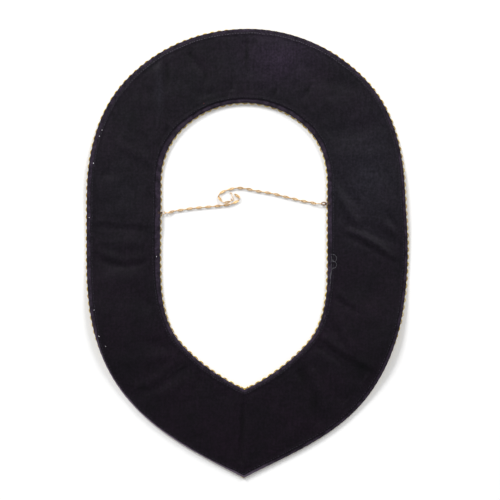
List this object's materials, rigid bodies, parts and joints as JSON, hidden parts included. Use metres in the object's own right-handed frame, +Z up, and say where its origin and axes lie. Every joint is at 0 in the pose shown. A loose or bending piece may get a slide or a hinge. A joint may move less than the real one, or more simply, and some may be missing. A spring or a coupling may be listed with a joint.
{
  "type": "regalia collar with keeper chain",
  "caption": "Flat cloth regalia collar with a pointed front, lined back, scalloped braid edges and a fine two-part keeper chain across the neck opening.",
  "frame": {"origin": "on the surface that the collar lies on, under the middle of its outline", "axes": "+Z up, out of the lined back, because the collar lies face down; +Y towards the nape; -Y towards the point on the chest; +X to the right in the view from above"},
  "size_m": [0.33, 0.4602, 0.0099],
  "materials": {
    "velvet": "dark purple cotton velvet, turned up as a hem over the back",
    "lining": "near-black plain weave, a little crumpled",
    "braid": "gold metal-thread braid with scalloped edges",
    "chain": "warm orange-gold brass, worn bright",
    "ring": "darkened brass wire"
  },
  "bodies": {
    "root": {"velvet_face": "velvet", "back_lining": "lining", "braid_outer": "braid", "braid_inner": "braid", "keeper_chain_left": "chain", "keeper_chain_right": "chain", "chain_hook": "chain", "jump_ring_left": "ring", "jump_ring_right": "ring"}
  },
  "joints": []
}
